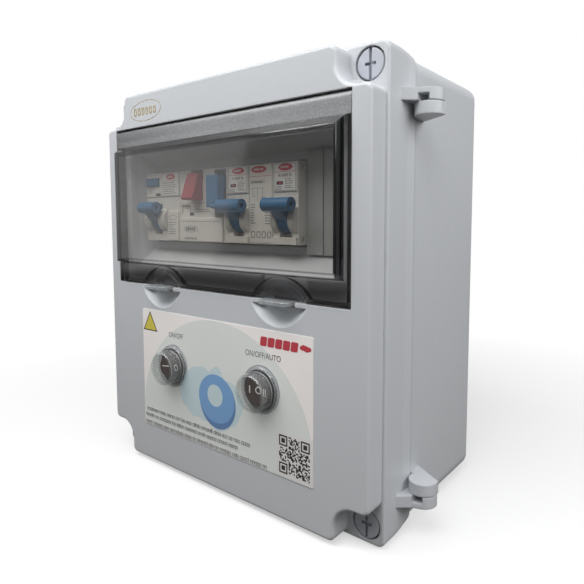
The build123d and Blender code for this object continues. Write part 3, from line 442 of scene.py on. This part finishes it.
# ---- front label ----------------------------------------------------------------------------------
SWITCH_X, SWITCH_Z = 38.0, -52.5
SWITCH_HOLE = 13.6  # radius of the label's hole round a switch
LABEL_LEFT, LABEL_RIGHT, LABEL_LOW = -70.3, 74.0, -97.3
LABEL_FRONT = -0.3  # depth of the label's surface
MARGIN = 0.3  # unprinted rim
CAPTION_HEIGHT, CAPTION_WIDTH = 3.2, 0.86  # capitals in millimetres, and how narrow they are
CAPITAL = 0.70  # height of a capital letter of the built-in face, as a share of its size


def cover_print(name, shapes, step, ink):
    """Ink on the front label."""
    film(name, shapes, facing(LABEL_FRONT, step), INKS[ink], "cover")


def caption(name, text, x, z):
    """A switch's generic words in the built-in face, centred on x with their base at z."""
    curve = bpy.data.curves.new("words", "FONT")
    curve.body = text
    curve.size = CAPTION_HEIGHT / CAPITAL
    curve.align_x = "CENTER"
    front = facing(LABEL_FRONT, 1)
    lay(name, curve, lambda u, v, rise: front(x + u * CAPTION_WIDTH, z + v, rise), INKS["grey"], "cover")


switch_holes = [oval(x, SWITCH_Z, SWITCH_HOLE, SWITCH_HOLE) for x in (-SWITCH_X, SWITCH_X)]
disc = [(max(LABEL_LEFT + MARGIN, min(LABEL_RIGHT - MARGIN, x)), max(LABEL_LOW + MARGIN, z))
        for x, z in oval(2.0, -85.0, 72.0, 66.0, count=160)]
cover_print("label_disc", [disc] + switch_holes, 0, "pale")
splash = blob(-3.0, -65.0, (27, 23, 17, 20, 15, 19, 23, 28, 29, 24, 18, 16, 21, 22, 25))
cover_print("label_splash", [splash], 1, "splash")
ring_hole = oval(0.6, -63.8, 6.6, 6.6)
cover_print("label_ring_side", [oval(2.4, -67.6, 15.6, 16.0)], 2, "ring_side")
cover_print("label_ring", [oval(1.6, -65.6, 15.4, 14.6), ring_hole], 3, "ring")
cover_print("label_ring_middle", [ring_hole], 3, "splash")
cover_print("label_code_patch", [rect(49.2, LABEL_RIGHT - 0.4, LABEL_LOW + 0.4, -71.8)], 1, "white")

TRIANGLE = [(-62.1, -19.9), (-69.6, -32.9), (-54.5, -32.9)]
YELLOW_SHARE = 0.84  # of the triangle's size, inside its black edge
centre_x, centre_z = (sum(corner[axis] for corner in TRIANGLE) / 3 for axis in (0, 1))
inner = [(centre_x + (x - centre_x) * YELLOW_SHARE, centre_z + (z - centre_z) * YELLOW_SHARE)
         for x, z in TRIANGLE]
cover_print("label_triangle", [inner], 0, "yellow")
cover_print("label_triangle_edge", [TRIANGLE, inner], 0, "black")

blocks = [rounded_rect(37.4 + i * 5.4, 42.2 + i * 5.4, -28.0, -22.8, 0.9, lean=0.8) for i in range(5)]
cover_print("label_red_blocks", blocks, 1, "red")
cover_print("label_red_tail", [blob(69.0, -25.2, (3.9, 1.8, 1.5, 2.4, 3.6, 1.6, 1.4, 2.2))], 1, "red")

caption("label_caption_left", "ON/OFF", -35.4, -34.3)
caption("label_caption_right", "ON/OFF/AUTO", 39.4, -34.9)
for i, (x0, x1, z) in enumerate(((-67.4, 31.0, -87.4), (-68.6, 20.5, -91.6), (-69.2, 42.0, -96.4))):
    cover_print(f"label_line_{i + 1}", strokes(11 + i, x0, x1, z, height=1.9, stroke=0.24), 4, "text")

# square of random cells in place of a printed code, with three nested squares in its corners
CODE_X, CODE_Z, CELL, CELLS = 51.0, -94.8, 0.836, 25
NESTED = 7  # cells across a nested square
CELL_GAP = 0.001
pick = random.Random(5)
cells = []
for row in range(CELLS):
    for column in range(CELLS):
        near_left = column < NESTED + 1
        near_right = column > CELLS - NESTED - 2
        near_top = row > CELLS - NESTED - 2
        in_corner = (near_top and (near_left or near_right)) or (row < NESTED + 1 and near_left)
        if not in_corner and pick.random() < 0.5:
            x = CODE_X + column * CELL
            z = CODE_Z + row * CELL
            cells.append(rect(x + CELL_GAP, x + CELL - CELL_GAP, z + CELL_GAP, z + CELL - CELL_GAP))
for column, row in ((0, CELLS - NESTED), (CELLS - NESTED, CELLS - NESTED), (0, 0)):
    x = CODE_X + column * CELL
    z = CODE_Z + row * CELL
    for inset in (0, 1, 2):
        near = inset * CELL
        far = (NESTED - inset) * CELL
        cells.append(rect(x + near, x + far, z + near, z + far))
cover_print("label_cells", cells, 2, "black")

# foil badge on the top band of the cover
film("badge_ring", [oval(-62.3, 109.8, 16.4, 6.4, tilt=2), oval(-62.3, 109.8, 16.05, 6.05, tilt=2)],
     facing(0.0), INKS["gold"], "cover")
bars = []
for i in range(6):
    bars += outline(-74.6 + i * 4.1, -71.6 + i * 4.1, 107.2, 112.2 - 0.1 * i, stroke=0.95, radius=1.1)
film("badge_bars", bars, facing(0.0), INKS["gold"], "cover")

# ---- prints on the devices ------------------------------------------------------------------------
# depths of the surfaces that carry ink
RCD_NOSE, RCD_BLOCK = 12.0, 11.1
BREAKER_NOSE, BREAKER_COVER, BREAKER_ICON = 12.5, 11.0, 13.67
MCB_NOSE, AUX_NOSE = 11.9, 12.2


def case_print(name, shapes, surface, step, ink):
    """Ink on a device behind the window."""
    film(name, shapes, facing(surface, step), INKS[ink], "case")


def device_plate(name, x0, x1, z0, z1, surface):
    """A pale film label with a thin drawn frame."""
    case_print(f"{name}_plate", [rounded_rect(x0, x1, z0, z1, 0.4)], surface, 0, "plate")
    drawn = outline(x0 + 0.15, x1 - 0.15, z0 + 0.15, z1 - 0.15, stroke=0.22)
    case_print(f"{name}_plate_edge", drawn, surface, 1, "grey")


def red_mark(name, x, z, rx, surface, step, line):
    """A filled red oval with pale strokes on it, and a red line given by its ends and its height."""
    line_left, line_right, line_z = line
    case_print(f"{name}_oval", [oval(x, z, rx, 1.85)], surface, step, "red")
    pale = strokes(len(name), x - rx * 0.66, x + rx * 0.62, z - 0.55, height=1.1, stroke=0.22)
    case_print(f"{name}_oval_bar", pale, surface, step + 1, "plate")
    red_line = [rect(line_left, line_right, line_z - 0.12, line_z + 0.12)]
    case_print(f"{name}_red_line", red_line, surface, step, "red")


device_plate("rcd", -62.9, -45.3, 55.6, 70.4, RCD_NOSE)
red_mark("rcd", -53.6, 68.0, 4.6, RCD_NOSE, 1, (-61.6, -46.6, 65.5))
rcd_print = dashes(21, -61.4, -46.6, 64.4, pitch=1.35, rows=6, height=0.5)
case_print("rcd_print", rcd_print, RCD_NOSE, 1, "grey")
case_print("rcd_indicator", [rounded_rect(-69.6, -64.6, 55.9, 57.7, 0.2)], RCD_NOSE, 0, "black")
rcd_test_print = dashes(22, -78.8, -71.0, 61.0, pitch=1.3, rows=3, height=0.45, fill=0.5)
case_print("rcd_test_print", rcd_test_print, RCD_NOSE, 0, "grey")
rcd_oval = [oval(-50.9, 41.6, 4.2, 1.5), oval(-50.9, 41.6, 3.95, 1.25)]
case_print("rcd_block_oval", rcd_oval, RCD_BLOCK, 0, "grey")
rcd_block_print = dashes(23, -55.4, -46.6, 38.6, pitch=1.5, rows=6, height=0.45, fill=0.5)
case_print("rcd_block_print", rcd_block_print, RCD_BLOCK, 0, "grey")

case_print("breaker_mark", [rect(-35.2, -31.4, 42.6, 44.6)], BREAKER_NOSE, 0, "black")
case_print("breaker_icon", outline(-40.1, -37.0, 47.2, 49.6, stroke=0.35), BREAKER_ICON, 0, "grey")
breaker_print = dashes(24, -30.0, -14.5, 46.6, pitch=1.4, rows=2, height=0.45, fill=0.6)
case_print("breaker_print", breaker_print, BREAKER_NOSE, 0, "grey")
breaker_lines = [rect(-44.2, -1.6, 50.4, 50.62), rect(-34.4, -34.15, 42.0, 50.4)]
case_print("breaker_lines", breaker_lines, BREAKER_NOSE, 0, "grey")
breaker_oval = [oval(-32.6, 34.2, 6.8, 2.1), oval(-32.6, 34.2, 6.5, 1.8)]
case_print("breaker_cover_oval", breaker_oval, BREAKER_COVER, 0, "grey")
breaker_bars = [rounded_rect(-37.6 + i * 1.9, -36.3 + i * 1.9, 33.2, 35.3, 0.2, lean=0.3) for i in range(5)]
case_print("breaker_cover_bars", breaker_bars, BREAKER_COVER, 0, "grey")
breaker_strokes = strokes(25, -39.4, -27.0, 27.6, height=1.2, stroke=0.26)
case_print("breaker_cover_print", breaker_strokes, BREAKER_COVER, 0, "grey")
case_print("breaker_cover_line", [rect(-43.6, -4.6, 38.8, 38.98)], BREAKER_COVER, 0, "grey")

for name, x0, x1 in (("mcb_1", 0.0, 17.9), ("mcb_2", 36.3, 54.2)):
    device_plate(name, x0 + 0.9, x1 - 1.2, 55.5, 70.4, MCB_NOSE)
    middle = (x0 + x1) / 2
    red_mark(name, middle + 0.5, 68.2, 5.0, MCB_NOSE, 1, (x0 + 1.3, x1 - 1.6, 65.8))
    word = strokes(31, middle - 4.6, middle + 4.8, 63.2, height=1.35, stroke=0.3)
    case_print(f"{name}_word", word, MCB_NOSE, 1, "grey")
    case_print(f"{name}_indicator", [rounded_rect(x0 + 3.0, x0 + 7.6, 58.9, 60.8, 0.2)], MCB_NOSE, 1, "black")
    case_print(f"{name}_indicator_flag", [rect(x0 + 4.4, x0 + 6.6, 59.4, 60.3)], MCB_NOSE, 2, "red")
    small_print = dashes(32, x0 + 9.0, x1 - 2.0, 62.0, pitch=1.15, rows=5, height=0.42, fill=0.6)
    case_print(f"{name}_print", small_print, MCB_NOSE, 1, "grey")
    marks = (outline(x0 + 1.9, x0 + 3.9, 56.2, 58.1, stroke=0.32, radius=0.8)
             + outline(x0 + 4.4, x0 + 6.2, 56.2, 58.1, stroke=0.32, radius=0.3))
    case_print(f"{name}_marks", marks, MCB_NOSE, 1, "grey")

red_mark("aux", 25.6, 68.1, 5.8, AUX_NOSE, 0, (18.9, 35.2, 64.3))
case_print("aux_word", strokes(41, 19.4, 30.6, 60.4, height=1.45, stroke=0.3), AUX_NOSE, 0, "grey")
aux_symbol = [rect(19.6, 30.0, 57.6, 57.8), rect(21.0, 21.2, 53.4, 57.6), rect(24.6, 24.8, 50.2, 57.6),
              rect(28.4, 28.6, 52.6, 57.6), rect(19.8, 23.6, 53.2, 53.4), rect(26.6, 30.4, 52.4, 52.6)]
case_print("aux_symbol", aux_symbol, AUX_NOSE, 0, "grey")
aux_print_left = dashes(42, 19.4, 23.0, 48.8, pitch=1.5, rows=8, height=0.5, fill=0.6)
case_print("aux_print_left", aux_print_left, AUX_NOSE, 0, "grey")
aux_print_right = dashes(43, 30.2, 34.8, 45.6, pitch=1.5, rows=6, height=0.5, fill=0.6)
case_print("aux_print_right", aux_print_right, AUX_NOSE, 0, "grey")
aux_marks = []
for i in range(4):
    corner = 1.3 if i % 2 else 0.5
    aux_marks += outline(19.4 + i * 4.1, 22.4 + i * 4.1, 29.6, 33.4, stroke=0.42, radius=corner)
case_print("aux_marks", aux_marks, AUX_NOSE, 0, "grey")

# ---- symbols on the rockers -----------------------------------------------------------------------
ROCKER_DROP = 1.0  # pivot behind the front face
ROCKER_FACE = 3.2  # middle of the rocker's face in front of the pivot
ROCKER_RISE, ROCKER_HALF = 2.0, 8.3  # how far its ends stand out further, and how far away they are
ROCKER_CLEAR = 0.01  # from the face to the print
LEFT_TILT = 9.0  # the left rocker rests on one side, in degrees


def on_rocker(x, tilt):
    """Lays (u, z, height) on the rocker's two sloping faces."""
    turn = math.radians(tilt)

    def place(u, z, rise):
        v = -(ROCKER_FACE + abs(u) * ROCKER_RISE / ROCKER_HALF) - ROCKER_CLEAR - rise
        return Vector((x + u * math.cos(turn) - v * math.sin(turn),
                       ROCKER_DROP - DEPTH + u * math.sin(turn) + v * math.cos(turn),
                       SWITCH_Z + z)) / 1000

    return place


left = on_rocker(-SWITCH_X, LEFT_TILT)
right = on_rocker(SWITCH_X, 0.0)
rocker_prints = (
    ("rocker_left_bar", [rect(-6.6, -2.2, -0.35, 0.35)], left, "rocker_left"),
    ("rocker_left_circle", [oval(4.3, 0, 2.0, 2.0), oval(4.3, 0, 1.4, 1.4)], left, "rocker_left"),
    ("rocker_right_bar", [rect(-5.9, -5.2, -2.1, 2.1)], right, "rocker_right"),
    ("rocker_right_circle", [oval(0, 0, 2.1, 2.1), oval(0, 0, 1.5, 1.5)], right, "rocker_right"),
    ("rocker_right_bars", [rect(4.3, 4.95, -2.1, 2.1), rect(5.95, 6.6, -2.1, 2.1)], right,
     "rocker_right"),
)
for name, shapes, place, body in rocker_prints:
    film(name, shapes, place, INKS["white"], body)

# ---- floor, light and camera ----------------------------------------------------------------------
FLOOR_RADIUS, FLOOR_SIDES = 9.0, 64
FLOOR_GAP = 0.0004  # from the floor to the object's lowest point
FLOOR_BOUNCE = (0.115, 0.108, 0.100)  # what the floor gives back to the object's underside
FLOOR_FADE = (0.12, 0.42)  # distances between which the floor fades to plain white


def pale_floor(level):
    """Round pale floor, which the camera sees fading to plain white away from the object."""
    rim = [(FLOOR_RADIUS * math.cos(2 * math.pi * i / FLOOR_SIDES),
            FLOOR_RADIUS * math.sin(2 * math.pi * i / FLOOR_SIDES), level) for i in range(FLOOR_SIDES)]
    mesh = bpy.data.meshes.new("floor")
    mesh.from_pydata(rim, [], [list(range(FLOOR_SIDES))])
    piece = bpy.data.objects.new("floor", mesh)
    bpy.context.scene.collection.objects.link(piece)
    t = Tree(bpy.data.materials.new("pale_floor"))
    seen_by_camera = t.add("ShaderNodeLightPath").outputs["Is Camera Ray"]
    shade = t.blend(t.noise(scale=3.0, detail=3.0), (0.90, 0.90, 0.905), (0.93, 0.93, 0.93))
    matt = t.add("ShaderNodeBsdfDiffuse", Color=t.blend(seen_by_camera, FLOOR_BOUNCE, shade))
    glow = t.add("ShaderNodeEmission", Color=(1, 1, 1), Strength=1.0)
    fade = t.remap(t.vector_math("LENGTH", t.where), FLOOR_FADE, (0.40, 1.0))
    mesh.materials.append(t.surface(t.mix(t.math("MULTIPLY", fade, seen_by_camera, clamp=True), matt, glow)))
    return piece


def studio_world():
    """Surround that is darker below. The camera sees it as plain white."""
    world = bpy.data.worlds.new("studio")
    bpy.context.scene.world = world
    t = Tree(world, "ShaderNodeOutputWorld")
    up = t.split(t.coordinates["Generated"])[2]
    ramp = t.add("ShaderNodeValToRGB", Fac=t.remap(up, (-1.0, 1.0), (0.0, 1.0)))
    stops = ramp.color_ramp.elements
    stops[0].position = 0.30
    stops[0].color = (0.245, 0.232, 0.220, 1)
    stops[1].position = 0.95
    stops[1].color = (1.0, 1.0, 1.0, 1)
    stops.new(0.55).color = (0.66, 0.665, 0.68, 1)
    lit = t.add("ShaderNodeBackground", Color=ramp.outputs["Color"], Strength=0.30)
    seen = t.add("ShaderNodeBackground", Color=(1, 1, 1))
    t.surface(t.mix(t.add("ShaderNodeLightPath").outputs["Is Camera Ray"], lit, seen))


def soft_light(name, place, aim, size, power, glossy_only=False, roll=0.0):
    """Rectangular lamp turned towards a point, and rolled about that line by an angle in degrees."""
    lamp = bpy.data.lights.new(name, "AREA")
    lamp.shape = "RECTANGLE"
    lamp.size, lamp.size_y = size
    lamp.energy = power
    holder = bpy.data.objects.new(name, lamp)
    holder.location = place
    turn = (Vector(aim) - Vector(place)).to_track_quat("-Z", "Y") @ Quaternion((0, 0, 1), math.radians(roll))
    holder.rotation_euler = turn.to_euler()
    holder.visible_diffuse = not glossy_only
    bpy.context.scene.collection.objects.link(holder)


def add_camera(place, yaw, pitch, lens, shift):
    """Camera turned left by yaw and down by pitch, in degrees."""
    data = bpy.data.cameras.new("camera")
    data.sensor_width = 36.0
    data.lens = lens
    data.shift_x, data.shift_y = shift
    data.clip_start = 0.01
    data.clip_end = 50.0
    camera = bpy.data.objects.new("camera", data)
    camera.location = place
    camera.rotation_euler = (math.radians(90 - pitch), 0, math.radians(yaw))
    bpy.context.scene.collection.objects.link(camera)
    bpy.context.scene.camera = camera


floor = pale_floor(cad_box[0].z - FLOOR_GAP)
studio_world()
soft_light("overhead", (-0.02, -0.42, 0.50), (0, -0.12, 0.03), (0.80, 0.35), 5.0)
soft_light("side_light", (0.66, -0.02, 0.34), (0.11, -0.06, 0.02), (0.55, 0.45), 2.9)
# pale card at the left, seen only in the window's reflections
soft_light("reflected_card", (-1.37, -0.61, 0.02), (-0.05, -0.13, 0.04), (1.2, 1.5), 3.6, glossy_only=True,
           roll=-18)
add_camera((0.2295, -0.3263, 0.0394), yaw=37.91, pitch=4.54, lens=31.907, shift=(-0.0336, -0.0517))
bpy.context.scene.view_settings.view_transform = "Standard"
